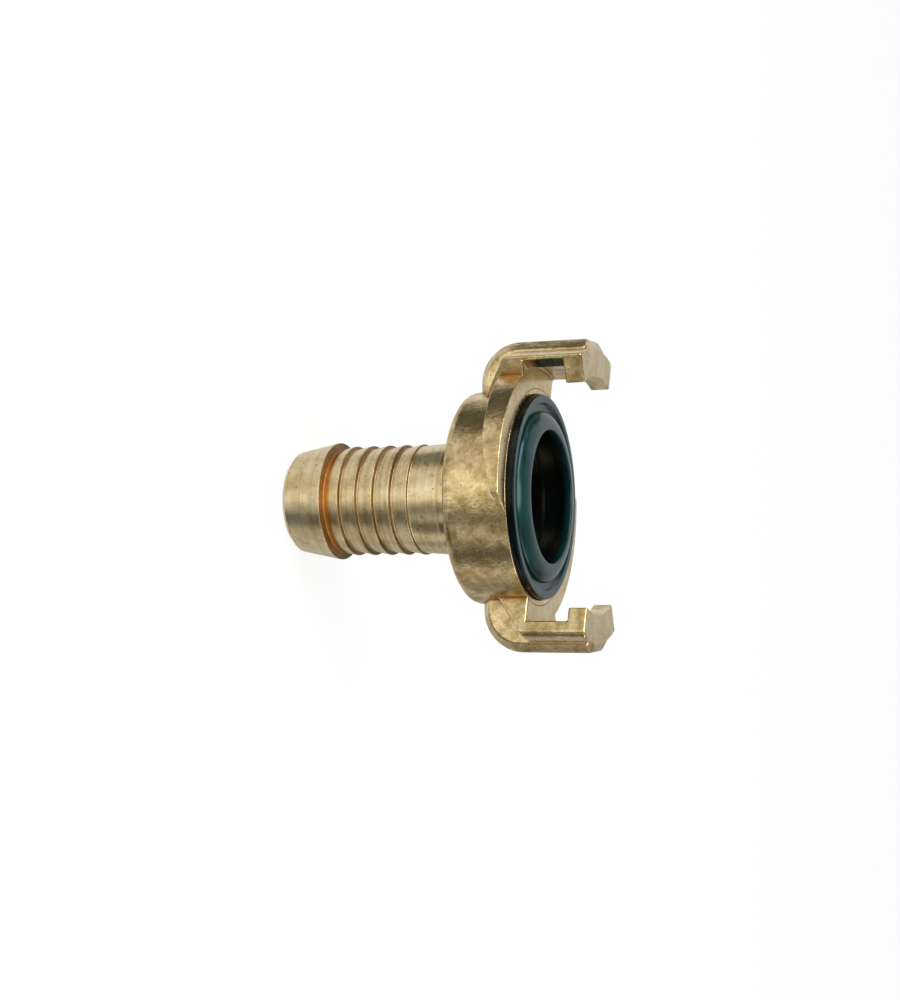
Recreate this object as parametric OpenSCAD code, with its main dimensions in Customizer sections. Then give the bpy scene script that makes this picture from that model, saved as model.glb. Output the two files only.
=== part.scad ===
// Half of a claw coupling for water, with a barbed hose tail and a moulded face seal.
// The axis is +Z. The fitting stands on the end of its tail, with its claws and seal up.
// The claws lie at +X and -X, and everything repeats after half a turn about the axis.

/* [Hose tail] */
// Height of the front barb, from the tail's end to its sharp edge
nose_len = 7.8; // [6.4:0.1:11]
// Diameter of the tail's end
nose_end_d = 15.6; // [15:0.1:17]
// Height of the small bevel at the tail's end
nose_bevel = 0.8; // [0.3:0.1:1.4]
// Diameter at the top of that bevel
nose_start_d = 17.4; // [17.1:0.1:18.4]
// Diameter of the front barb's sharp edge
nose_d = 20.2; // [19.6:0.1:21.4]
// Number of barbs behind the front one
barb_n = 5; // [3:1:7]
// Distance from one barb to the next
barb_pitch = 3.1; // [2.6:0.1:3.8]
// Diameter over those barbs
barb_d = 18.8; // [18.4:0.1:19.4]
// Diameter at the foot of each barb
barb_root_d = 17.6; // [17:0.1:18.2]
// Height that each barb's back face falls through
barb_back = 0.25; // [0.1:0.05:0.5]
// Length of the plain shank between the last barb and the head
shank_len = 9.2; // [6:0.1:14]
// Diameter of the shank at the last barb
shank_low_d = 18.2; // [17.7:0.1:18.6]
// Diameter of the shank at the head
shank_top_d = 19.6; // [18.8:0.1:21]
// Radius of the hollow corner under the head
shank_fillet = 1.6; // [0.6:0.1:2.6]

/* [Head] */
// Wall of the head round the seat of the seal
head_wall = 0.63; // [0.4:0.01:3]
// Length of the head, from its back to the machined face
head_len = 11.1; // [10.2:0.1:13]
// Radius of the head's back edge
head_round = 1.6; // [0.5:0.1:2]
// Diameter of the fine turned line on the face
face_line_d = 36; // [35.9:0.1:37]
// Width of that line
face_line_w = 0.25; // [0.15:0.05:0.4]
// Depth of that line
face_line_deep = 0.12; // [0.05:0.01:0.2]

/* [Water way] */
// Diameter of the bore through the tail
bore_d = 13.6; // [12:0.1:14.4]
// Diameter of the throat under the seal
throat_d = 21; // [19:0.1:22]
// Steepness of the funnel from the throat to the bore, from level
funnel_angle = 45; // [35:1:55]

/* [Seal] */
// Diameter of the seal's flange
seal_d = 34; // [33.4:0.1:34.1]
// Height that the flange stands above the machined face
seal_proud = 1.1; // [0.6:0.1:1.6]
// Depth that the flange sits below the machined face
seal_sunk = 2; // [1.4:0.1:2.6]
// Height of the lip above the flange's front
lip_rise = 1.05; // [0.6:0.05:1.4]
// Diameter of the lip's opening
lip_d = 22.2; // [21.4:0.1:23]
// Width of the lip's flat top
lip_top_w = 0.5; // [0.3:0.1:0.8]
// Height of the lip's upright inner wall
lip_wall = 1.2; // [0.8:0.1:1.6]
// Height of the step from that wall to the sleeve's hole
lip_under = 1.2; // [0.8:0.1:1.8]
// Diameter where the flat ring ends and the groove starts
ring_inner_d = 31.4; // [31:0.1:32]
// Diameter at the foot of the rounded inner ring
bead_foot_d = 28.6; // [27.8:0.1:29]
// Depth of the groove between the two rings
seal_groove = 0.65; // [0.3:0.05:0.9]
// Diameter of the sleeve that hangs below the flange
sleeve_d = 29.6; // [29.2:0.1:29.8]
// Diameter of the hole through the sleeve
sleeve_bore_d = 22.8; // [22.4:0.1:23.6]
// Length of the sleeve below the flange
sleeve_len = 4.6; // [4:0.1:5]
// Height of the bead that snaps in behind the seat's shoulder
snap_h = 1.7; // [1.2:0.1:2]
// Distance that the snap bead stands out of the sleeve
snap_out = 0.75; // [0.4:0.05:0.8]
// Height of the small ridge round the inside of the sleeve
ridge_h = 0.6; // [0.4:0.1:0.9]
// Distance that the ridge stands out into the hole
ridge_out = 0.35; // [0.2:0.05:0.5]
// Height of the ridge above the sleeve's end
ridge_up = 3.2; // [2.4:0.1:3.6]
// Size of the small bevels on the seal's edges
seal_edge = 0.25; // [0.1:0.05:0.35]
// Clearance between the seal and the brass round it
seal_gap = 0.12; // [0.05:0.01:0.2]

/* [Cam flange] */
// Diameter over the two cams
cam_d = 42.6; // [42:0.1:42.8]
// Thickness of a cam where it leaves its claw
cam_root_t = 4.4; // [3.8:0.1:5]
// Thickness of a cam where its lead-in starts
cam_end_t = 3.2; // [2.6:0.1:3.7]
// Angle from a claw's middle to the start of the lead-in
cam_lead_a = 67; // [60:1:72]
// Angle from a claw's middle to the point where the lead-in would run out
cam_tip_a = 104; // [101:1:108]
// Angle from a claw's middle to the cam's cut-off end
cam_cut_a = 92.8; // [88:0.2:96]
// Radius at which the cut-off end crosses that angle
cam_cut_r = 20; // [19.6:0.1:20.4]
// Angle between the cut-off end and the line to the axis
cam_cut_slant = 42; // [34:1:50]

/* [Claws] */
// Clearance between an arm and the other half's cam
cam_gap = 0.4; // [0.2:0.05:0.6]
// Thickness of an arm, from its slot to its turned back
arm_t = 2.6; // [2.2:0.1:3]
// Distance that a nose reaches inwards from its arm
nose_reach = 2.3; // [1.9:0.1:3]
// Half of the angle that a claw takes up
claw_half_a = 22; // [19:0.5:24]
// Height of the slot from the machined face to the nose
slot_h = 6.9; // [6:0.1:8]
// Thickness of the nose along the axis
nose_t = 3.2; // [2.6:0.1:4.4]
// Slope of the claw's underside, outwards
under_slope = 35; // [30:1:40]
// Twist of the claw's underside, towards its cam
under_twist = 6.8; // [3:0.2:9]
// Height from the head's back to the underside, on the head's surface
under_rise = 5.8; // [5.2:0.1:6.6]
// Size of the bevel inside the arm, on the cam's side
arm_bevel = 1.4; // [0.8:0.1:1.6]
// Size of the bevel round the claw's front edge
tip_bevel = 0.2; // [0.1:0.1:0.6]

/* [Claw ribs] */
// Height of a rib above the turned back
rib_h = 1.3; // [1:0.1:1.9]
// Width of a rib at its foot
rib_foot_w = 10.4; // [9:0.1:12]
// Width of a rib's back
rib_back_w = 6.4; // [4:0.1:8.6]
// Depth of the slanted sides between those widths
rib_slant = 1.5; // [0.8:0.1:2]
// Radius of the rib's round shoulder
rib_round = 6.8; // [5.6:0.1:7.4]
// Height of the rib's heel above the head's back
rib_heel = 2.2; // [1.8:0.1:3]
// Length of the bevel at the rib's front end
rib_bevel = 0.8; // [0.5:0.1:2]

/* [Hidden] */
head_d = seal_d + 2 * seal_gap + 2 * head_wall;
$fn = 96;
brass = [0.80, 0.66, 0.40];
rubber = [0.10, 0.13, 0.13];

// Steps in the rounded corners of an outline
arc_steps = 6;

// Heights from the tail's end
last_barb_z = nose_len + barb_n * barb_pitch;
head_z = last_barb_z + shank_len;
face_z = head_z + head_len;
flange_z = face_z - seal_sunk;
seal_z = face_z + seal_proud;
sleeve_z = flange_z - sleeve_len;
nose_z = face_z + slot_h;
tip_z = nose_z + nose_t;

// The claws follow the cam that they have to take
arm_inner_d = cam_d + 2 * cam_gap;
claw_d = arm_inner_d + 2 * arm_t;
nose_inner_d = arm_inner_d - 2 * nose_reach;
rib_d = claw_d + 2 * rib_h;

// The seat follows the seal
seat_d = seal_d + 2 * seal_gap;
pocket_d = sleeve_d + 2 * seal_gap;
undercut_d = sleeve_d + 2 * snap_out + 2 * seal_gap;
undercut_h = snap_h + 2 * seal_gap;
pocket_z = sleeve_z - seal_gap;
funnel_h = (throat_d - bore_d) / 2 * tan(funnel_angle);

// A little extra length where one cut has to reach past a face
past = 1;
// Overlap that fuses claws and cams with the head
weld = 1.2;
// Angle between the steps of a cam's sloping back
cam_step = 4;
// A cam's blank ends this far short of the other claw's line, and its slanted cut makes the end
cam_back_a = 20;

// Points of an arc in the plane, from one angle to another
function arc(centre, r, from, to, steps = arc_steps) =
    [for (i = [0:steps]) let (a = from + (to - from) * i / steps)
        centre + r * [cos(a), sin(a)]];

// One barb as seen from the side, from its foot to its sharp edge
function barb(z) = [
    [barb_root_d / 2, z - barb_pitch + barb_back],
    [barb_d / 2, z]];

// Outline of everything turned: tail, shank and head
module turned_outline() {
    fillet_c = [shank_top_d / 2 + shank_fillet, head_z - shank_fillet];
    edge_c = [head_d / 2 - head_round, head_z + head_round];
    polygon(concat(
        [[0, 0], [nose_end_d / 2, 0], [nose_start_d / 2, nose_bevel], [nose_d / 2, nose_len]],
        [for (i = [1:barb_n]) each barb(nose_len + i * barb_pitch)],
        [[shank_low_d / 2, last_barb_z + barb_back]],
        arc(fillet_c, shank_fillet, 180, 90),
        arc(edge_c, head_round, -90, 0),
        [[head_d / 2, face_z], [0, face_z]]));
}

// Outline of all that is bored out for the water and the seal
module bored_outline() {
    polygon([
        [0, -past],
        [bore_d / 2, -past],
        [bore_d / 2, pocket_z - funnel_h],
        [throat_d / 2, pocket_z],
        [undercut_d / 2, pocket_z],
        [undercut_d / 2, pocket_z + undercut_h],
        [pocket_d / 2, pocket_z + undercut_h + snap_out],
        [pocket_d / 2, flange_z],
        [seat_d / 2, flange_z],
        [seat_d / 2, face_z + past],
        [0, face_z + past]]);
}

// Ring between two diameters
module ring(outer_d, inner_d, z, h) {
    translate([0, 0, z])
        difference() {
            cylinder(d = outer_d, h = h);
            translate([0, 0, -past])
                cylinder(d = inner_d, h = h + 2 * past);
        }
}

// Wedge about the axis, to one angle each side of +X
module wedge(half_a, z, h) {
    reach = rib_d;
    translate([0, 0, z])
        linear_extrude(h)
            polygon([[0, 0], reach * [cos(half_a), -sin(half_a)], reach * [cos(half_a), sin(half_a)]]);
}

// Height of a cam's back below the machined face, at an angle from its claw
function cam_t(a) = a < cam_lead_a
    ? cam_root_t + (cam_end_t - cam_root_t) * a / cam_lead_a
    : cam_end_t * (cam_tip_a - a) / (cam_tip_a - cam_lead_a);

// What is cut away below a cam: its top is the cam's rising back, and its bottom is level
module under_cam() {
    from = -cam_step;
    steps = ceil((cam_tip_a - 2 * from) / cam_step);
    inner = head_d / 2 - 2 * weld;
    outer = cam_d / 2 + past;
    low = head_z - past;
    rows = [for (i = [0:steps])
        let (a = from + i * (cam_tip_a - 2 * from) / steps, top = face_z - cam_t(a), dir = [cos(a), sin(a)])
            [[inner * dir.x, inner * dir.y, low], [outer * dir.x, outer * dir.y, low],
             [outer * dir.x, outer * dir.y, top], [inner * dir.x, inner * dir.y, top]]];
    sides = [for (i = [0:steps - 1]) for (j = [0:3])
        let (k = (j + 1) % 4) each [
            [4 * i + j, 4 * i + k, 4 * (i + 1) + k],
            [4 * i + j, 4 * (i + 1) + k, 4 * (i + 1) + j]]];
    polyhedron(
        points = [for (r = rows) each r],
        faces = concat(
            [[0, 2, 1], [0, 3, 2]],
            sides,
            [[4 * steps, 4 * steps + 1, 4 * steps + 2], [4 * steps, 4 * steps + 2, 4 * steps + 3]]));
}

// Cam flange of the claw at +X: it runs from the claw round to +Y and ends in a slanted cut
module cam() {
    depth = cam_root_t + past;
    end_dir = [cos(cam_cut_a), sin(cam_cut_a)];
    difference() {
        intersection() {
            ring(cam_d, head_d - 2 * weld, face_z - depth, depth);
            translate([0, 0, face_z - depth])
                linear_extrude(depth)
                    polygon([
                        [0, 0], cam_d * [cos(cam_step), sin(cam_step)], [cam_d, cam_d],
                        [-cam_d, cam_d], cam_d * [-cos(cam_back_a), sin(cam_back_a)]]);
        }
        under_cam();
        translate([cam_cut_r * end_dir.x, cam_cut_r * end_dir.y, face_z - depth - past])
            rotate(cam_cut_a - cam_cut_slant)
                translate([-cam_d, 0, 0])
                    cube([2 * cam_d, cam_d, depth + 2 * past]);
    }
}

// The claw's underside: everything below this slope is left to the rib
module under_claw() {
    size = 2 * rib_d;
    translate([head_d / 2, 0, head_z + under_rise])
        rotate([-under_twist, -under_slope, 0])
            translate([-size / 2, -size / 2, -size])
                cube(size);
}

// Turned outline of the claws, with the bevel at their front edge
module hook_outline() {
    inner = head_d / 2 - weld;
    polygon([
        [inner, head_z], [claw_d / 2, head_z], [claw_d / 2, tip_z - tip_bevel],
        [claw_d / 2 - tip_bevel, tip_z], [inner, tip_z]]);
}

// Hook of the claw at +X: foot, arm and nose, with the slot for the other half's cam
module hook() {
    difference() {
        intersection() {
            rotate_extrude()
                hook_outline();
            wedge(claw_half_a, head_z, tip_z - head_z);
        }
        under_claw();
        translate([0, 0, face_z])
            cylinder(d = arm_inner_d, h = slot_h);
        translate([0, 0, face_z])
            cylinder(d = nose_inner_d, h = slot_h + nose_t + past);
        rotate(claw_half_a)
            translate([arm_inner_d / 2, 0, face_z])
                rotate(45)
                    translate([-arm_bevel, -arm_bevel, 0])
                        cube([2 * arm_bevel, 2 * arm_bevel, slot_h]);
    }
}

// Side view of the rib, from the head outwards, drawn in by an inset
module rib_side(inset) {
    back = rib_d / 2 - inset;
    heel = head_z + rib_heel + inset;
    round = rib_round - inset;
    inner = head_d / 2 - weld;
    polygon(concat(
        [[inner, heel]],
        arc([back - round, heel + round], round, -90, 0, 2 * arc_steps),
        [[back, tip_z - rib_bevel], [claw_d / 2 - inset / 2, tip_z], [inner, tip_z]]));
}

// One slice of the rib: its side view at a width
module rib_slice(inset, width) {
    translate([0, width / 2, 0])
        rotate([90, 0, 0])
            linear_extrude(width)
                rib_side(inset);
}

// Rib along the back of the claw at +X, with slanted sides all the way round its shoulder
module rib() {
    difference() {
        hull() {
            rib_slice(0, rib_back_w);
            rib_slice(rib_slant, rib_foot_w);
        }
        translate([0, 0, face_z])
            cylinder(d = arm_inner_d + weld, h = tip_z);
    }
}

// Brass body: one forging, turned and bored
module coupling_body() {
    color(brass)
        difference() {
            union() {
                rotate_extrude()
                    turned_outline();
                for (turn = [0, 180])
                    rotate(turn) {
                        hook();
                        rib();
                        cam();
                    }
            }
            rotate_extrude()
                bored_outline();
            ring(face_line_d + face_line_w, face_line_d - face_line_w, face_z - face_line_deep, past);
        }
}

// Outline of the seal: flat ring, groove, rounded lip, and the sleeve with its snap bead
module seal_outline() {
    flange_r = seal_d / 2;
    ring_r = ring_inner_d / 2;
    bead_r = bead_foot_d / 2;
    lip_r = lip_d / 2;
    hole_r = sleeve_bore_d / 2;
    sleeve_r = sleeve_d / 2;
    groove_z = seal_z - seal_groove;
    wall_z = seal_z + lip_rise - seal_edge - lip_wall;
    ridge_z = sleeve_z + ridge_up;
    crown_r = lip_r + lip_top_w;
    polygon(concat(
        [[flange_r, flange_z], [flange_r, seal_z - seal_edge], [flange_r - seal_edge, seal_z]],
        [[ring_r, seal_z], [ring_r - seal_groove / 2, groove_z]],
        [for (a = [0:15:90])
            [crown_r + (bead_r - crown_r) * cos(a), groove_z + (lip_rise + seal_groove) * sin(a)]],
        [[lip_r + seal_edge, seal_z + lip_rise], [lip_r, seal_z + lip_rise - seal_edge], [lip_r, wall_z]],
        [[hole_r, wall_z - lip_under], [hole_r, ridge_z + ridge_h]],
        [[hole_r - ridge_out, ridge_z + ridge_h / 2], [hole_r, ridge_z], [hole_r, sleeve_z]],
        [[sleeve_r + snap_out - seal_edge, sleeve_z], [sleeve_r + snap_out, sleeve_z + seal_edge]],
        [[sleeve_r + snap_out, sleeve_z + snap_h - seal_edge]],
        [[sleeve_r, sleeve_z + snap_h + snap_out - seal_edge], [sleeve_r, flange_z]]));
}

// Black moulded seal, snapped into the front of the head
module form_seal() {
    color(rubber)
        rotate_extrude()
            seal_outline();
}

coupling_body();
form_seal();
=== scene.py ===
import math

import bmesh
import bpy
from mathutils import Matrix, Vector


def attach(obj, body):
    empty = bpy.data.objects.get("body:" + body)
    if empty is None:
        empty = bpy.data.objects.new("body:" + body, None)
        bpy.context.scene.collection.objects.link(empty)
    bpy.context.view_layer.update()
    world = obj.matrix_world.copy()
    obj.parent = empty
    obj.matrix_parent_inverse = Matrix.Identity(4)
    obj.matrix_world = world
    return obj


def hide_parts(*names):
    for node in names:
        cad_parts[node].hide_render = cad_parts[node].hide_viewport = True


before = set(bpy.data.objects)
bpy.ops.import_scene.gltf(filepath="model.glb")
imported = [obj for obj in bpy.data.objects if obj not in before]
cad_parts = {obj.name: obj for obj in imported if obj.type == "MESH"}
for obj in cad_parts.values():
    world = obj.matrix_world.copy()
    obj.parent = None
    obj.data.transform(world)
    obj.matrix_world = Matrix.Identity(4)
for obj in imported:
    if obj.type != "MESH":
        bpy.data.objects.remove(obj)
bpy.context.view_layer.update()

# The camera stands where the photograph was taken from. The fitting stands on its tail here
# and lies on its side in the photograph, so the camera is rolled by a quarter turn.
MM = 0.001
SEAL_FRONT = 44.7 * MM
PHOTO_WIDTH = 900
FOCAL_PX = 1746.3
SENSOR_WIDTH = 36
NEAREST, FARTHEST = 0.01, 20
axis_tilt, axis_lean, part_roll = math.radians(20.754), math.radians(1.202), math.radians(-1.4)
seal_from_lens = Vector((15.962, -0.501, 289.527)) * MM

axis = Vector((
    math.cos(axis_tilt) * math.cos(axis_lean),
    -math.cos(axis_tilt) * math.sin(axis_lean),
    -math.sin(axis_tilt)))
down = Vector((0, 1, 0))
claw_line = (down - axis * down.dot(axis)).normalized()
cam_line = axis.cross(claw_line)
part_in_view = Matrix((claw_line, cam_line, axis)).transposed() @ Matrix.Rotation(part_roll, 3, "Z")
view_in_part = part_in_view.transposed()

right, below, ahead = (view_in_part @ Vector(v) for v in ((1, 0, 0), (0, 1, 0), (0, 0, 1)))
lens_at = Vector((0, 0, SEAL_FRONT)) - view_in_part @ seal_from_lens
camera_data = bpy.data.cameras.new("photo_camera")
camera_data.sensor_fit = "HORIZONTAL"
camera_data.sensor_width = SENSOR_WIDTH
camera_data.lens = FOCAL_PX * SENSOR_WIDTH / PHOTO_WIDTH
camera_data.clip_start, camera_data.clip_end = NEAREST, FARTHEST
camera = bpy.data.objects.new("photo_camera", camera_data)
bpy.context.collection.objects.link(camera)
camera.matrix_world = Matrix.Translation(lens_at) @ Matrix((right, -below, -ahead)).transposed().to_4x4()
bpy.context.scene.camera = camera


# Brass body. The real one is a single hot forging of free-machining brass. Its head, claws and
# cams keep the pitted skin of the die, and its tail, bore, seat, face and claw fronts are
# turned on a lathe. The barbs grip a 19 mm hose, and the seat holds the seal by its snap bead.
NOSE_LEN, NOSE_R, NOSE_END_R, NOSE_BEVEL = 7.8, 10.1, 7.8, 0.8
BARBS, BARB_PITCH, BARB_R, BARB_ROOT_R, BARB_BACK = 5, 3.1, 9.4, 8.8, 0.25
SHANK_LOW_R, SHANK_TOP_R, SHANK_FILLET = 9.1, 9.8, 1.6
SHOULDER_R, SHOULDER_Z, SHOULDER_STEP = 9.46, 28.7, 0.08
HEAD_R, HEAD_Z, FACE_Z, HEAD_EDGE = 17.75, 32.5, 43.6, 1.6
BORE_R, THROAT_R, POCKET_R, UNDERCUT_R, SEAT_R = 6.8, 10.5, 14.92, 15.67, 17.12
BORE_TOP, POCKET_Z, UNDERCUT_Z, FLANGE_Z = 33.18, 36.88, 38.82, 41.6
EDGE, ROOT, SEAT_EDGE = 0.1, 0.15, 0.2
TURN_STEPS = 192


# A colour is written as an sRGB hex value, and this turns it to the linear one that shaders take.
def linear(hex_colour):
    def channel(i):
        c = int(hex_colour[i:i + 2], 16) / 255
        return c / 12.92 if c <= 0.04045 else ((c + 0.055) / 1.055) ** 2.4
    return (channel(0), channel(2), channel(4), 1.0)


# Adds one node to a tree with its settings and, on a ramp, its stops. An input that is given
# as a socket is linked, and any other is set.
def add(tree, kind, inputs=None, stops=None, **settings):
    node = tree.nodes.new(kind)
    for name, value in settings.items():
        setattr(node, name, value)
    if stops:
        elements = node.color_ramp.elements
        elements.remove(elements[1])
        elements[0].position, elements[0].color = stops[0]
        for position, colour in stops[1:]:
            elements.new(position).color = colour
    for key, value in (inputs or {}).items():
        if isinstance(value, bpy.types.NodeSocket):
            tree.links.new(value, node.inputs[key])
        else:
            node.inputs[key].default_value = value
    return node


def new_material(name):
    material = bpy.data.materials.new(name)
    material.use_nodes = True
    material.node_tree.nodes.clear()
    return material, material.node_tree


# What both skins of the brass share: paler and deeper patches, small dark pits, and brown in
# corners and creases, partly the flux and soap that stay there and partly painted shade. It gives
# the colour, how patchy it is, and how much brown and painted shade lies in the corners.
BLACK, WHITE = (0, 0, 0, 1), (1, 1, 1, 1)
SPOT_SIZE, PIT_SIZE, CORNER_REACH = 1.5 * MM, 0.7 * MM, 1.4 * MM


def stained_and_shaded(tree, place, pale, deep, patch_size, spotting):
    patches = add(tree, "ShaderNodeTexNoise", {
        "Vector": place, "Scale": 1 / patch_size, "Detail": 5.0, "Roughness": 0.62}).outputs["Fac"]
    tint = add(tree, "ShaderNodeValToRGB", {"Fac": patches}, [(0.36, linear(deep)), (0.62, linear(pale))])
    spots = add(tree, "ShaderNodeTexNoise", {
        "Vector": place, "Scale": 1 / SPOT_SIZE, "Detail": 3.0, "Roughness": 0.75})
    spot = add(tree, "ShaderNodeMapRange", {0: spots.outputs["Fac"], 1: 0.52, 2: 0.68, 4: spotting}).outputs[0]
    tint = add(tree, "ShaderNodeMix", {
        0: spot, 6: tint.outputs[0], 7: linear("8A7C54")}, data_type="RGBA").outputs[2]
    pits = add(tree, "ShaderNodeTexNoise", {
        "Vector": place, "Scale": 1 / PIT_SIZE, "Detail": 4.0, "Roughness": 0.7})
    pit = add(tree, "ShaderNodeValToRGB", {"Fac": pits.outputs["Fac"]}, [(0.60, BLACK), (0.70, WHITE)])
    tint = add(tree, "ShaderNodeMix", {
        0: pit.outputs[0], 6: tint, 7: linear("7A6440")}, data_type="RGBA").outputs[2]
    # Painted shade, partly real dirt: corners and creases that the occlusion mask finds turn brown and less shiny.
    corner = add(tree, "ShaderNodeAmbientOcclusion", {"Distance": CORNER_REACH}, samples=8, only_local=True)
    dirt_and_shade = add(tree, "ShaderNodeMapRange", {0: corner.outputs["AO"], 1: 0.80, 2: 0.50}).outputs[0]
    tint = add(tree, "ShaderNodeMix", {0: dirt_and_shade, 6: tint, 7: linear("8E5A28")}, data_type="RGBA").outputs[2]
    return tint, patches, dirt_and_shade


# Turned brass: bright, with fine rings from the tool. The rings are about 0.1 mm apart on the
# real one and are drawn 0.25 mm apart, so that they show at the photograph's size. The steps
# behind the barbs are painted dark brown, a painted shade for the grooves between the barbs, and
# the first groove, behind the nose, is painted orange, a painted reflection of brass on brass.
turned_brass, tree = new_material("turned_brass")
coordinate = add(tree, "ShaderNodeTexCoord")
place = coordinate.outputs["Object"]
tint, patches, dirt_and_shade = stained_and_shaded(tree, place, "E4D2A8", "D0B782", 4.5 * MM, 0.3)
height = add(tree, "ShaderNodeSeparateXYZ", {"Vector": place}).outputs["Z"]
facing = add(tree, "ShaderNodeSeparateXYZ", {"Vector": coordinate.outputs["Normal"]}).outputs["Z"]
marks = add(tree, "ShaderNodeTexNoise", {"W": height, "Scale": 1 / (0.25 * MM), "Detail": 3.0},
            noise_dimensions="1D")
bands = add(tree, "ShaderNodeTexNoise", {"W": height, "Scale": 1 / (1.1 * MM), "Detail": 3.0, "Roughness": 0.7},
            noise_dimensions="1D")
band = add(tree, "ShaderNodeValToRGB", {"Fac": bands.outputs["Fac"]}, [
    (0.35, linear("E8E6E2")), (0.55, WHITE)])
tint = add(tree, "ShaderNodeMix", {
    0: 1.0, 6: tint, 7: band.outputs[0]}, data_type="RGBA", blend_type="MULTIPLY").outputs[2]
# Painted shade: the steps behind the barbs, which face back along the tail, are painted dark brown and made less
# shiny.
on_tail = add(tree, "ShaderNodeMapRange", {0: height, 1: 24.2 * MM, 2: 24.6 * MM, 3: 1.0, 4: 0.0}).outputs[0]
stepped = add(tree, "ShaderNodeMapRange", {0: facing, 1: 0.30, 2: 0.60}).outputs[0]
step = add(tree, "ShaderNodeMath", {0: stepped, 1: on_tail}, operation="MULTIPLY").outputs[0]
# Painted reflection: the first groove, between the nose and the first barb, is painted orange for the light the
# brass faces throw on each other.
behind = add(tree, "ShaderNodeMapRange", {0: height, 1: 9.7 * MM, 2: 8.6 * MM}).outputs[0]
above = add(tree, "ShaderNodeMapRange", {0: height, 1: 7.75 * MM, 2: 7.85 * MM}).outputs[0]
painted_bounce = add(tree, "ShaderNodeMath", {0: behind, 1: above}, operation="MULTIPLY").outputs[0]
tint = add(tree, "ShaderNodeMix", {0: painted_bounce, 6: tint, 7: linear("C8843C")}, data_type="RGBA").outputs[2]
step_shade = add(tree, "ShaderNodeValToRGB", {"Fac": patches}, [(0.38, linear("4C3A1A")), (0.60, linear("74582A"))])
tint = add(tree, "ShaderNodeMix", {0: step, 6: tint, 7: step_shade.outputs[0]}, data_type="RGBA").outputs[2]
dirt_and_shade = add(tree, "ShaderNodeMath", {0: dirt_and_shade, 1: step}, operation="MAXIMUM").outputs[0]
rough = add(tree, "ShaderNodeMapRange", {0: patches, 1: 0.3, 2: 0.7, 3: 0.22, 4: 0.30}).outputs[0]
past = add(tree, "ShaderNodeMath", {0: height, 1: SHOULDER_Z * MM}, operation="GREATER_THAN").outputs[0]
short = add(tree, "ShaderNodeMath", {0: height, 1: HEAD_Z * MM}, operation="LESS_THAN").outputs[0]
polished = add(tree, "ShaderNodeMath", {0: past, 1: short}, operation="MULTIPLY").outputs[0]
rough = add(tree, "ShaderNodeMix", {0: polished, 2: rough, 3: 0.14}).outputs[0]
rough = add(tree, "ShaderNodeMix", {0: dirt_and_shade, 2: rough, 3: 0.5}).outputs[0]
metal = add(tree, "ShaderNodeMapRange", {0: dirt_and_shade, 1: 0.0, 2: 1.0, 3: 1.0, 4: 0.5}).outputs[0]
bump = add(tree, "ShaderNodeBump", {"Height": marks.outputs["Fac"], "Strength": 0.4, "Distance": 0.012 * MM})
shader = add(tree, "ShaderNodeBsdfPrincipled", {
    "Base Color": tint, "Metallic": metal, "Roughness": rough, "Normal": bump.outputs["Normal"]})
add(tree, "ShaderNodeOutputMaterial", {"Surface": shader.outputs["BSDF"]})

# Forged brass: the skin of the die, softly dented and finely grained, so that its reflections
# break up into bright and dark flecks. The grain is drawn at twice its real size to show.
forged_brass, tree = new_material("forged_brass")
place = add(tree, "ShaderNodeTexCoord").outputs["Object"]
tint, patches, dirt_and_shade = stained_and_shaded(tree, place, "DFC897", "A88F5C", 2.6 * MM, 0.5)
dents = add(tree, "ShaderNodeTexNoise", {
    "Vector": place, "Scale": 1 / (1.7 * MM), "Detail": 2.0, "Roughness": 0.5})
grain = add(tree, "ShaderNodeTexNoise", {
    "Vector": place, "Scale": 1 / (0.4 * MM), "Detail": 3.0, "Roughness": 0.65})
rough = add(tree, "ShaderNodeMapRange", {0: patches, 1: 0.3, 2: 0.7, 3: 0.28, 4: 0.18}).outputs[0]
rough = add(tree, "ShaderNodeMix", {0: dirt_and_shade, 2: rough, 3: 0.55}).outputs[0]
bump = add(tree, "ShaderNodeBump", {"Height": dents.outputs["Fac"], "Strength": 0.6, "Distance": 0.12 * MM})
bump = add(tree, "ShaderNodeBump", {
    "Height": grain.outputs["Fac"], "Strength": 0.7, "Distance": 0.05 * MM, "Normal": bump.outputs["Normal"]})
shader = add(tree, "ShaderNodeBsdfPrincipled", {
    "Base Color": tint, "Metallic": 1.0, "Roughness": rough, "Normal": bump.outputs["Normal"]})
add(tree, "ShaderNodeOutputMaterial", {"Surface": shader.outputs["BSDF"]})


# Rounds the corners of an outline. Each point is (radius, height, corner radius), in mm.
def rounded(outline, closed=True, steps=4):
    points = []
    for i, (x, z, corner) in enumerate(outline):
        here = Vector((x, z))
        if corner == 0 or (not closed and i in (0, len(outline) - 1)):
            points.append(here)
            continue
        before = Vector(outline[i - 1][:2]) - here
        after = Vector(outline[(i + 1) % len(outline)][:2]) - here
        reach = corner / math.tan(before.angle(after) / 2)
        reach = min(reach, 0.48 * before.length, 0.48 * after.length)
        start, end = here + before.normalized() * reach, here + after.normalized() * reach
        for k in range(steps + 1):
            s = k / steps
            points.append(start * (1 - s) ** 2 + here * 2 * s * (1 - s) + end * s ** 2)
    return points


# Makes an object from a bmesh, with near points merged and its faces turned outwards.
def finished(bm, name):
    bmesh.ops.remove_doubles(bm, verts=bm.verts, dist=0.002 * MM)
    if bm.faces:
        bmesh.ops.recalc_face_normals(bm, faces=bm.faces)
    mesh = bpy.data.meshes.new(name)
    bm.to_mesh(mesh)
    bm.free()
    piece = bpy.data.objects.new(name, mesh)
    bpy.context.collection.objects.link(piece)
    return piece


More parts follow.
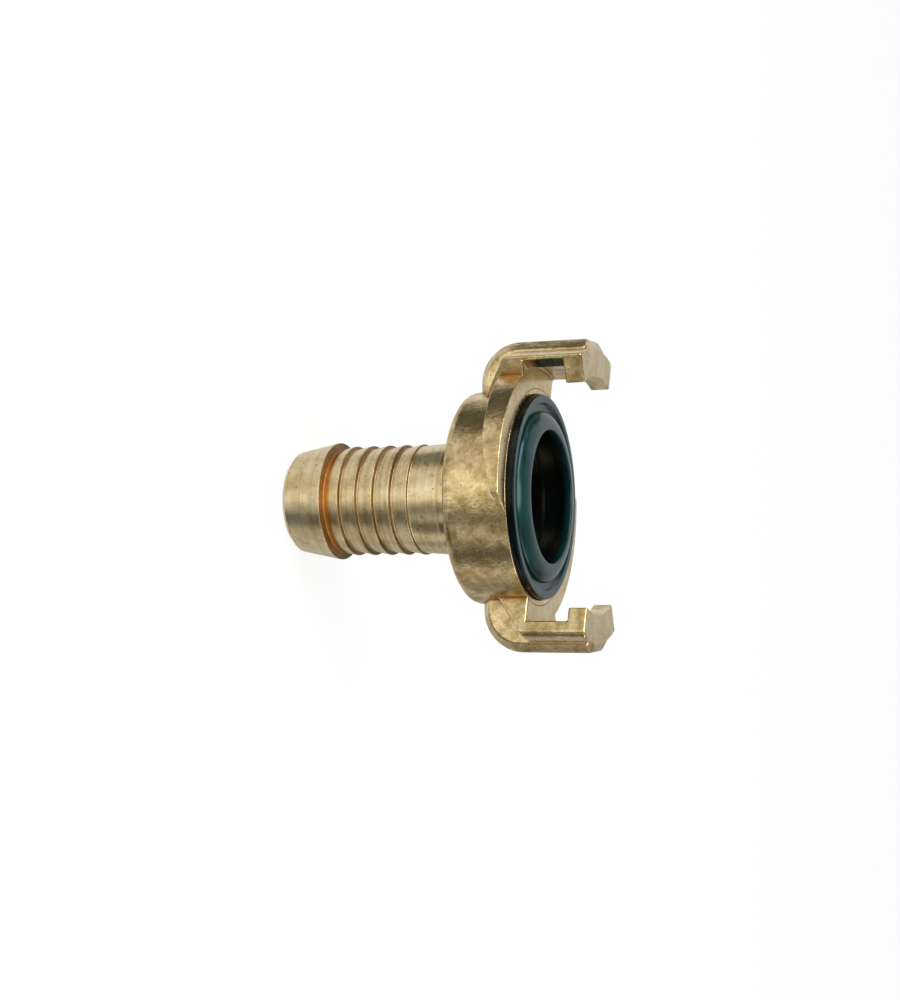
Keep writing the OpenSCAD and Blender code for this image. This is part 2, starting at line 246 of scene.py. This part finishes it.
# Makes a wire in the XZ plane from an outline's points.
def wire(points, name, closed=False):
    bm = bmesh.new()
    verts = [bm.verts.new((p.x * MM, 0, p.y * MM)) for p in points]
    for a, b in zip(verts, verts[1:] + verts[:1] if closed else verts[1:]):
        bm.edges.new((a, b))
    return finished(bm, name)


# Replaces an object's mesh by what its modifiers make of it.
def settle(piece):
    evaluated = piece.evaluated_get(bpy.context.evaluated_depsgraph_get())
    mesh = bpy.data.meshes.new_from_object(evaluated)
    piece.modifiers.clear()
    piece.data = mesh
    return piece


# Joins several objects' meshes into the first one, merging the points where they meet.
def joined(pieces):
    bm = bmesh.new()
    for piece in pieces:
        bm.from_mesh(piece.data)
    name = pieces[0].name
    for piece in pieces:
        bpy.data.objects.remove(piece)
    return finished(bm, name)


# Repeats what it is given along the axis or round it, for the barbs and for the two claws.
repeat = bpy.data.node_groups.new("repeat_on_axis", "GeometryNodeTree")
for label, kind, way in (
        ("Geometry", "Geometry", "INPUT"), ("Count", "Int", "INPUT"), ("Pitch", "Float", "INPUT"),
        ("Turn", "Float", "INPUT"), ("Material", "Material", "INPUT"), ("Geometry", "Geometry", "OUTPUT")):
    repeat.interface.new_socket(label, in_out=way, socket_type="NodeSocket" + kind)
given = add(repeat, "NodeGroupInput").outputs
pitch_step = add(repeat, "ShaderNodeCombineXYZ", {"Z": given["Pitch"]}).outputs[0]
line = add(repeat, "GeometryNodeMeshLine", {"Count": given["Count"], "Offset": pitch_step}, mode="OFFSET")
index = add(repeat, "GeometryNodeInputIndex").outputs[0]
angle = add(repeat, "ShaderNodeMath", {0: index, 1: given["Turn"]}, operation="MULTIPLY").outputs[0]
turn = add(repeat, "ShaderNodeCombineXYZ", {"Z": angle}).outputs[0]
copies = add(repeat, "GeometryNodeInstanceOnPoints", {
    "Points": line.outputs[0], "Instance": given["Geometry"], "Rotation": turn})
real = add(repeat, "GeometryNodeRealizeInstances", {0: copies.outputs[0]})
dressed = add(repeat, "GeometryNodeSetMaterial", {"Geometry": real.outputs[0], "Material": given["Material"]})
add(repeat, "NodeGroupOutput", {0: dressed.outputs[0]})


def repeated(piece, count, pitch, turn_angle, material):
    modifier = piece.modifiers.new("repeat", "NODES")
    modifier.node_group = repeat
    values = {"Count": count, "Pitch": pitch * MM, "Turn": turn_angle, "Material": material}
    for item in repeat.interface.items_tree:
        if item.in_out == "INPUT" and item.name in values:
            modifier[item.identifier] = values[item.name]
    return settle(piece)


# Turns a wire round the axis, as the lathe does.
def lathed(piece):
    modifier = piece.modifiers.new("lathe", "SCREW")
    modifier.axis = "Z"
    modifier.angle = 2 * math.pi
    modifier.steps = modifier.render_steps = TURN_STEPS
    modifier.use_merge_vertices = True
    modifier.merge_threshold = 0.001 * MM
    settle(piece)
    return joined([piece])


middle_r, middle_z = (BARB_R + BARB_ROOT_R) / 2, (BARB_PITCH + BARB_BACK) / 2
first_root = (BARB_ROOT_R, NOSE_LEN + BARB_BACK, ROOT)
one_barb = rounded([
    (middle_r, NOSE_LEN + middle_z, 0),
    (BARB_R, NOSE_LEN + BARB_PITCH, EDGE),
    (BARB_ROOT_R, NOSE_LEN + BARB_PITCH + BARB_BACK, ROOT),
    (middle_r, NOSE_LEN + BARB_PITCH + middle_z, 0)], closed=False)
barb_wire = repeated(wire(one_barb, "barbs"), BARBS - 1, BARB_PITCH, 0.0, turned_brass)
last_barb = NOSE_LEN + BARBS * BARB_PITCH
rest = rounded([
    (middle_r, last_barb - BARB_PITCH + middle_z, 0),
    (BARB_R, last_barb, EDGE),
    (SHANK_LOW_R, last_barb + BARB_BACK, ROOT),
    (SHOULDER_R, SHOULDER_Z, 0.02),
    (SHOULDER_R + SHOULDER_STEP, SHOULDER_Z + SHOULDER_STEP, 0.02),
    (SHANK_TOP_R, HEAD_Z, SHANK_FILLET),
    (HEAD_R, HEAD_Z, HEAD_EDGE),
    (HEAD_R, FACE_Z, EDGE),
    (SEAT_R, FACE_Z, EDGE),
    (SEAT_R, FLANGE_Z, SEAT_EDGE),
    (POCKET_R, FLANGE_Z, SEAT_EDGE),
    (POCKET_R, UNDERCUT_Z + UNDERCUT_R - POCKET_R, EDGE),
    (UNDERCUT_R, UNDERCUT_Z, EDGE),
    (UNDERCUT_R, POCKET_Z, EDGE),
    (THROAT_R, POCKET_Z, EDGE),
    (BORE_R, BORE_TOP, 0.4),
    (BORE_R, 0, EDGE),
    (NOSE_END_R, 0, 0.15),
    (NOSE_END_R + 0.9, NOSE_BEVEL, 0.5),
    (NOSE_R, NOSE_LEN, 0.15),
    first_root,
    (middle_r, NOSE_LEN + middle_z, 0)], closed=False, steps=6)
brass_body = lathed(joined([wire(rest, "brass_body"), barb_wire]))

# Claws and cams of the brass body. A claw is a wedge of the turned shape, and a rib stiffens it
# from behind. Each cam runs a quarter turn from its claw and gets thinner, and pulls the two
# halves of a joint together.
CLAW_R, ARM_INNER_R, NOSE_INNER_R, CLAW_HALF = 24.3, 21.7, 19.4, 22.0
NOSE_Z, TIP_Z, CLAW_FOOT_R = 50.5, 53.7, 17.4
ARM_BEVEL, BACK_ROUND, UNDER_SLOPE, UNDER_TWIST, UNDER_RISE = 1.98, 0.7, 35.0, 6.8, 5.8
RIB_R, RIB_FOOT, RIB_BACK, RIB_SLANT = 25.6, 5.2, 3.2, 1.5
RIB_ROUND, RIB_HEEL, RIB_BEVEL = 6.8, 2.2, 0.8
RIB_INSIDE = [(22.9, TIP_Z), (22.9, 43.2), (17.9, 43.2), (17.9, 41.2), (16.7, 41.2)]
CAM_R, CAM_ROOT, CAM_END, CAM_LEAD, CAM_TIP = 21.3, 4.4, 3.2, 67.0, 104.0
CAM_CUT, CAM_CUT_R, CAM_SLANT = 92.8, 20.0, 42.0
HOOK_STEPS, BEND_STEPS, CAM_STEPS = 22, 16, 52


# Closed solid through a row of rings that have the same number of points, in mm.
def loft(rings):
    bm = bmesh.new()
    rows = [[bm.verts.new(Vector(p) * MM) for p in ring] for ring in rings]
    for low, high in zip(rows, rows[1:]):
        for i in range(len(low)):
            j = (i + 1) % len(low)
            bm.faces.new((low[i], low[j], high[j], high[i]))
    bm.faces.new(rows[0])
    bm.faces.new(rows[-1])
    bmesh.ops.recalc_face_normals(bm, faces=bm.faces)
    return bm


# Cuts away what lies on the far side of a plane, and closes the cut.
def cut(bm, point, normal):
    result = bmesh.ops.bisect_plane(
        bm, geom=bm.verts[:] + bm.edges[:] + bm.faces[:], plane_co=Vector(point) * MM,
        plane_no=normal, clear_outer=True, dist=1e-7)
    edges = [e for e in result["geom_cut"] if isinstance(e, bmesh.types.BMEdge)]
    bmesh.ops.contextual_create(bm, geom=edges)
    return bm


# Places an outline of (radius, height) at an angle round the axis.
def around(outline, degrees):
    a = math.radians(degrees)
    return [(r * math.cos(a), r * math.sin(a), z) for r, z in outline]


# Gives the sharp edges of a piece the rounding that a forging has.
def softened(piece, width, segments):
    modifier = piece.modifiers.new("edges", "BEVEL")
    modifier.width = width * MM
    modifier.segments = segments
    modifier.limit_method = "ANGLE"
    modifier.angle_limit = math.radians(24)
    modifier.use_clamp_overlap = True
    return settle(piece)


def combined(piece, other, operation):
    modifier = piece.modifiers.new("fuse", "BOOLEAN")
    modifier.operation = operation
    modifier.solver = "EXACT"
    modifier.object = other
    settle(piece)
    bpy.data.objects.remove(other)
    return piece


hook_rings = []
bevel_a = math.degrees(ARM_BEVEL / ARM_INNER_R)
for i in range(HOOK_STEPS + 1):
    a = -CLAW_HALF + i * 2 * CLAW_HALF / HOOK_STEPS
    arm_r = ARM_INNER_R + ARM_BEVEL * max(0, a - CLAW_HALF + bevel_a) / bevel_a
    back_r = CLAW_R - BACK_ROUND if i == 0 else CLAW_R
    hook_rings.append(around([
        (CLAW_FOOT_R, HEAD_Z + 1), (back_r, HEAD_Z + 1), (back_r, TIP_Z), (NOSE_INNER_R, TIP_Z),
        (NOSE_INNER_R, NOSE_Z), (arm_r, NOSE_Z), (arm_r, FACE_Z), (CLAW_FOOT_R, FACE_Z)], a))
under = Vector((0, 0, -1))
under.rotate(Matrix.Rotation(math.radians(-UNDER_TWIST), 3, "X"))
under.rotate(Matrix.Rotation(math.radians(-UNDER_SLOPE), 3, "Y"))
hook = finished(cut(loft(hook_rings), (HEAD_R, 0, HEAD_Z + UNDER_RISE), under), "hook")
softened(hook, 0.3, 3)

rib_rings = []
for y, inset in ((-RIB_FOOT, RIB_SLANT), (-RIB_BACK, 0), (RIB_BACK, 0), (RIB_FOOT, RIB_SLANT)):
    back, heel, bend = RIB_R - inset, HEAD_Z + RIB_HEEL + inset, RIB_ROUND - inset
    side = [(RIB_INSIDE[-1][0], heel)]
    for k in range(BEND_STEPS + 1):
        a = math.radians(-90 + 90 * k / BEND_STEPS)
        side.append((back - bend + bend * math.cos(a), heel + bend + bend * math.sin(a)))
    side += [(back, TIP_Z - RIB_BEVEL), (CLAW_R - inset / 2, TIP_Z)] + RIB_INSIDE
    rib_rings.append([(x, y, z) for x, z in side])
rib = softened(finished(loft(rib_rings), "rib"), 0.3, 2)

cam_rings = []
for i in range(CAM_STEPS):
    a = i * CAM_TIP / CAM_STEPS
    if a < CAM_LEAD:
        thickness = CAM_ROOT + (CAM_END - CAM_ROOT) * a / CAM_LEAD
    else:
        thickness = CAM_END * (CAM_TIP - a) / (CAM_TIP - CAM_LEAD)
    low = FACE_Z - thickness
    cam_rings.append(around([(CLAW_FOOT_R, low), (CAM_R, low), (CAM_R, FACE_Z), (CLAW_FOOT_R, FACE_Z)], a))
cut_a, cut_way = math.radians(CAM_CUT), math.radians(CAM_CUT - CAM_SLANT)
cam = finished(cut(
    loft(cam_rings), (CAM_CUT_R * math.cos(cut_a), CAM_CUT_R * math.sin(cut_a), FACE_Z),
    (-math.sin(cut_way), math.cos(cut_way), 0)), "cam")
softened(cam, 0.3, 2)

claw = combined(combined(hook, rib, "UNION"), cam, "UNION")
repeated(claw, 2, 0.0, math.pi, forged_brass)
combined(brass_body, claw, "UNION")
LINE_R, LINE_HALF = 18.0, 0.12
face_line = lathed(wire([
    Vector((LINE_R - LINE_HALF, FACE_Z + EDGE)), Vector((LINE_R, FACE_Z - EDGE)),
    Vector((LINE_R + LINE_HALF, FACE_Z + EDGE))], "face_line", closed=True))
combined(brass_body, face_line, "DIFFERENCE")


# Smooth shading that leaves the real edges sharp.
def shaded(piece):
    piece.data.shade_smooth()
    piece.data.set_sharp_from_angle(angle=math.radians(50))
    normals = piece.modifiers.new("normals", "WEIGHTED_NORMAL")
    normals.keep_sharp = True


# The tail, all level faces from the face up, the claws' backs beside the rib, the bore and the
# seat are turned. The rest keeps the forged skin.
brass_body.data.materials.clear()
brass_body.data.materials.append(turned_brass)
brass_body.data.materials.append(forged_brass)
for face in brass_body.data.polygons:
    x, y, z = (v / MM for v in face.center)
    r = math.hypot(x, y)
    outward = (face.normal.x * x + face.normal.y * y) / max(r, EDGE)
    level = abs(face.normal.z) > 0.97 and z > FACE_Z - 0.3
    claw_back = r > CLAW_R - 0.3 and outward > 0.985 and abs(y) > RIB_FOOT - 0.2
    inside = outward < -0.9 and z < FACE_Z
    face.material_index = 0 if z < HEAD_Z + 0.05 or level or claw_back or inside else 1
shaded(brass_body)
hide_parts("coupling_body")
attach(brass_body, "root")

# Form seal. Moulded black nitrile rubber, pressed by hand into the front of the brass, where its
# snap bead holds it. Its flat ring and its round lip meet the ring and lip of the other half.
SEAL_Z, SEAL_R, RING_R, GROOVE_R, GROOVE_Z = 44.7, 17.0, 15.7, 15.375, 44.05
LIP_Z, LIP_R, CROWN_R, BEAD_R, LIP_WALL_Z, HOLE_R, HOLE_Z = 45.75, 11.1, 11.6, 14.3, 44.3, 11.4, 43.1
RIDGE_R, RIDGE_LOW, RIDGE_HIGH, SLEEVE_Z, SLEEVE_R = 11.05, 40.2, 40.8, 37.0, 14.8
SNAP_R, SNAP_HIGH, SNAP_TOP, LIP_STEPS = 15.55, 38.7, 39.2, 12
lip_curve = []
for k in range(LIP_STEPS + 1):
    a = math.pi / 2 * k / LIP_STEPS
    lip_curve.append((
        CROWN_R + (BEAD_R - CROWN_R) * math.cos(a), GROOVE_Z + (LIP_Z - GROOVE_Z) * math.sin(a), 0))
seal_outline = rounded([
    (SEAL_R, FLANGE_Z, 0.2), (SEAL_R, SEAL_Z, 0.3), (RING_R, SEAL_Z, 0.2), (GROOVE_R, GROOVE_Z, 0.15)]
    + lip_curve + [
    (LIP_R, LIP_Z, 0.4), (LIP_R, LIP_WALL_Z, 0.3), (HOLE_R, HOLE_Z, 0.3), (HOLE_R, RIDGE_HIGH, 0.1),
    (RIDGE_R, (RIDGE_LOW + RIDGE_HIGH) / 2, 0.1), (HOLE_R, RIDGE_LOW, 0.1), (HOLE_R, SLEEVE_Z, 0.2),
    (SNAP_R, SLEEVE_Z, 0.25), (SNAP_R, SNAP_HIGH, 0.2), (SLEEVE_R, SNAP_TOP, 0.2), (SLEEVE_R, FLANGE_Z, 0.1)])
seal = lathed(wire(seal_outline, "seal", closed=True))

# Satin black rubber: nearly black with a blue-green cast, and a soft sheen with a faint grain.
# The hole through it and the outer edge of its ring are painted black, with their sheen dimmed: painted shade.
seal_rubber, tree = new_material("seal_rubber")
place = add(tree, "ShaderNodeTexCoord").outputs["Object"]
bloom = add(tree, "ShaderNodeTexNoise", {"Vector": place, "Scale": 1 / (4.5 * MM), "Detail": 4.0, "Roughness": 0.6})
tint = add(tree, "ShaderNodeValToRGB", {"Fac": bloom.outputs["Fac"]}, [
    (0.35, linear("0A2829")), (0.75, linear("123738"))])
# Painted shade: inside the hole and on the outer edge of the ring, the rubber is painted near black and its sheen
# dimmed.
from_axis = add(tree, "ShaderNodeVectorMath", {0: place, 1: (1, 1, 0)}, operation="MULTIPLY").outputs[0]
from_axis = add(tree, "ShaderNodeVectorMath", {0: from_axis}, operation="LENGTH").outputs["Value"]
near_hole = add(tree, "ShaderNodeMath", {0: from_axis, 1: (HOLE_R + 0.3) * MM}, operation="LESS_THAN").outputs[0]
height = add(tree, "ShaderNodeSeparateXYZ", {"Vector": place}).outputs["Z"]
depth = add(tree, "ShaderNodeMapRange", {0: height, 1: LIP_Z * MM, 2: LIP_WALL_Z * MM}).outputs[0]
inside = add(tree, "ShaderNodeMath", {0: near_hole, 1: depth}, operation="MULTIPLY").outputs[0]
rim = add(tree, "ShaderNodeMath", {0: from_axis, 1: (SEAL_R - 0.12) * MM}, operation="GREATER_THAN").outputs[0]
painted_dark = add(tree, "ShaderNodeMath", {0: inside, 1: rim}, operation="MAXIMUM").outputs[0]
tint = add(tree, "ShaderNodeMix", {0: painted_dark, 6: tint.outputs[0], 7: linear("040808")}, data_type="RGBA").outputs[2]
sheen_dimmed_in_shade = add(tree, "ShaderNodeMix", {0: painted_dark, 6: linear("BCE2E0"), 7: linear("586060")}, data_type="RGBA").outputs[2]
grain = add(tree, "ShaderNodeTexNoise", {"Vector": place, "Scale": 1 / (0.5 * MM), "Detail": 2.0})
bump = add(tree, "ShaderNodeBump", {"Height": grain.outputs["Fac"], "Strength": 0.4, "Distance": 0.015 * MM})
shader = add(tree, "ShaderNodeBsdfPrincipled", {
    "Base Color": tint, "Roughness": 0.22, "IOR": 1.42, "Specular Tint": sheen_dimmed_in_shade,
    "Normal": bump.outputs["Normal"]})
add(tree, "ShaderNodeOutputMaterial", {"Surface": shader.outputs["BSDF"]})
seal.data.materials.append(seal_rubber)
shaded(seal)
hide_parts("form_seal")
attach(seal, "root")

# Floor. A plain white sheet that keeps the fitting's soft shadow. The metal doesn't mirror it,
# but the room below it, because the real fitting hung free of the background.
floor_white, tree = new_material("floor_white")
rays = add(tree, "ShaderNodeLightPath").outputs
sheet = add(tree, "ShaderNodeBsdfDiffuse", {"Color": WHITE})
glow = add(tree, "ShaderNodeEmission", {"Color": WHITE, "Strength": 1.0})
nothing = add(tree, "ShaderNodeBsdfTransparent")
seen = add(tree, "ShaderNodeMath", {0: rays["Is Camera Ray"], 1: 0.85}, operation="MULTIPLY").outputs[0]
paper = add(tree, "ShaderNodeMixShader", {0: seen, 1: sheet.outputs[0], 2: glow.outputs[0]})
paper = add(tree, "ShaderNodeMixShader", {0: rays["Is Glossy Ray"], 1: paper.outputs[0], 2: nothing.outputs[0]})
add(tree, "ShaderNodeOutputMaterial", {"Surface": paper.outputs[0]})
bpy.ops.mesh.primitive_plane_add(size=8)
floor = bpy.context.object
floor.name = "floor"
floor.data.materials.append(floor_white)

# Room. White for the light that falls on things, and for mirrored rays a ring of pale panels with
# dark gaps between them. An angle of 0 is the camera's side, less is the upper side of the
# photograph and more its lower side. Far down, where the barbs' slopes look, the upper side has
# no gap, and above eye level there is one bright panel on the camera's side.
HIGH_RING = [
    (-180, 0.42), (-150, 0.58), (-124, 0.66), (-113, 0.09), (-78, 0.05), (-66, 0.57), (-44, 0.62), (-32, 0.56),
    (-24, 0.88), (4, 0.88), (11, 0.3), (18, 0.12), (28, 0.14), (36, 0.45), (47, 0.45), (56, 0.05), (74, 0.04),
    (84, 0.54), (98, 0.5), (104, 0.15), (114, 0.15), (124, 0.42), (150, 0.3), (180, 0.42)]
LOW_RING = [
    (-180, 0.5), (-130, 0.6), (-60, 0.58), (-34, 0.5), (-26, 0.72), (-2, 0.74), (8, 0.42), (22, 0.34),
    (32, 0.12), (56, 0.08), (68, 0.36), (130, 0.42), (180, 0.5)]
FRONT_PANEL = [(-180, 0), (-30, 0), (-22, 1), (14, 1), (22, 0), (180, 0)]
world = bpy.data.worlds.new("studio")
bpy.context.scene.world = world
world.use_nodes = True
tree = world.node_tree
tree.nodes.clear()
way = add(tree, "ShaderNodeSeparateXYZ", {"Vector": add(tree, "ShaderNodeTexCoord").outputs["Generated"]}).outputs
away = add(tree, "ShaderNodeMath", {0: way["Y"], 1: -1.0}, operation="MULTIPLY").outputs[0]
turned = add(tree, "ShaderNodeMath", {0: way["X"], 1: away}, operation="ARCTAN2").outputs[0]
turned = add(tree, "ShaderNodeMapRange", {0: turned, 1: -math.pi, 2: math.pi}).outputs[0]
rings = [add(tree, "ShaderNodeValToRGB", {"Fac": turned}, [
    ((degrees + 180) / 360, (level, level, level, 1)) for degrees, level in ring]).outputs[0]
    for ring in (LOW_RING, HIGH_RING, FRONT_PANEL)]
rise = add(tree, "ShaderNodeMapRange", {0: way["Z"], 1: -0.60, 2: -0.45}).outputs[0]
panels = add(tree, "ShaderNodeMix", {0: rise, 6: rings[0], 7: rings[1]}, data_type="RGBA").outputs[2]
rise = add(tree, "ShaderNodeMapRange", {0: way["Z"], 1: 0.15, 2: 0.30}).outputs[0]
fall = add(tree, "ShaderNodeMapRange", {0: way["Z"], 1: 0.95, 2: 0.85}).outputs[0]
front = add(tree, "ShaderNodeMath", {0: rise, 1: fall}, operation="MULTIPLY").outputs[0]
front = add(tree, "ShaderNodeMath", {0: front, 1: rings[2]}, operation="MULTIPLY").outputs[0]
panels = add(tree, "ShaderNodeMix", {0: front, 6: panels, 7: WHITE}, data_type="RGBA").outputs[2]
strength = add(tree, "ShaderNodeMapRange", {0: front, 3: 1.5, 4: 8.0}).outputs[0]
mirrored = add(tree, "ShaderNodeBackground", {"Color": panels, "Strength": strength})
plain = add(tree, "ShaderNodeBackground", {"Color": WHITE, "Strength": 0.8})
rays = add(tree, "ShaderNodeLightPath").outputs
both = add(tree, "ShaderNodeMixShader", {0: rays["Is Glossy Ray"], 1: plain.outputs[0], 2: mirrored.outputs[0]})
backdrop = add(tree, "ShaderNodeBackground", {"Color": WHITE, "Strength": 1.0})
both = add(tree, "ShaderNodeMixShader", {0: rays["Is Camera Ray"], 1: both.outputs[0], 2: backdrop.outputs[0]})
add(tree, "ShaderNodeOutputWorld", {"Surface": both.outputs[0]})


# Soft panel lamp that faces the fitting. Its direction is right, down and away in the picture.
def panel(name, direction, distance, size, watts):
    data = bpy.data.lights.new(name, "AREA")
    data.shape = "RECTANGLE"
    data.size, data.size_y = size
    data.energy = watts
    lamp = bpy.data.objects.new(name, data)
    bpy.context.collection.objects.link(lamp)
    out = (right * direction[0] + below * direction[1] + ahead * direction[2]).normalized()
    lamp.location = Vector((0, 0, 27 * MM)) + out * distance
    lamp.rotation_mode = "QUATERNION"
    lamp.rotation_quaternion = out.to_track_quat("Z", "Y")


panel("panel_above", (0.2, -0.8, -0.7), 0.6, (0.5, 0.25), 3.0)
panel("panel_below", (0.1, 0.9, -0.35), 0.6, (0.5, 0.2), 1.5)

bpy.context.scene.view_settings.view_transform = "Standard"
